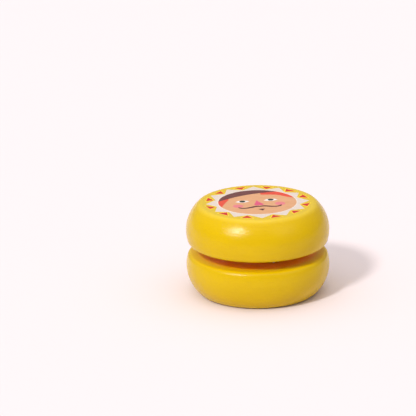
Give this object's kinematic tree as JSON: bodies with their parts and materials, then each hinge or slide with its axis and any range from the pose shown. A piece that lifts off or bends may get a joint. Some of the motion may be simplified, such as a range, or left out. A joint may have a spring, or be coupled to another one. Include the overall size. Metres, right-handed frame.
{
  "type": "yo-yo",
  "caption": "Wooden yo-yo of two rounded painted halves on a glued dowel, with printed faces and a wound cotton string that ends in a finger loop.",
  "frame": {"origin": "middle of the underside, on the axle's axis", "axes": "+Z along the axle's axis, up through the upper half; -Y is the front, towards the finger knot's side"},
  "size_m": [0.058, 0.058, 0.0374],
  "materials": {
    "yellow_paint": "satin gloss paint",
    "bare_wood": "bare",
    "printed_ink": "satin",
    "cotton_string": "twisted"
  },
  "bodies": {
    "yo_yo": {"upper_half": "yellow_paint", "lower_half": "yellow_paint", "axle": "bare_wood", "upper_print": "printed_ink", "lower_print": "printed_ink"},
    "string": {"string_winding": "cotton_string", "string_tail": "cotton_string", "finger_loop": "cotton_string", "finger_knot": "cotton_string"}
  },
  "joints": [
    {"name": "axle_spin", "type": "hinge", "parent": "yo_yo", "child": "string", "pos_m": [0, 0, 0.0187], "axis": [0, 0, 1], "continuous": true}
  ]
}
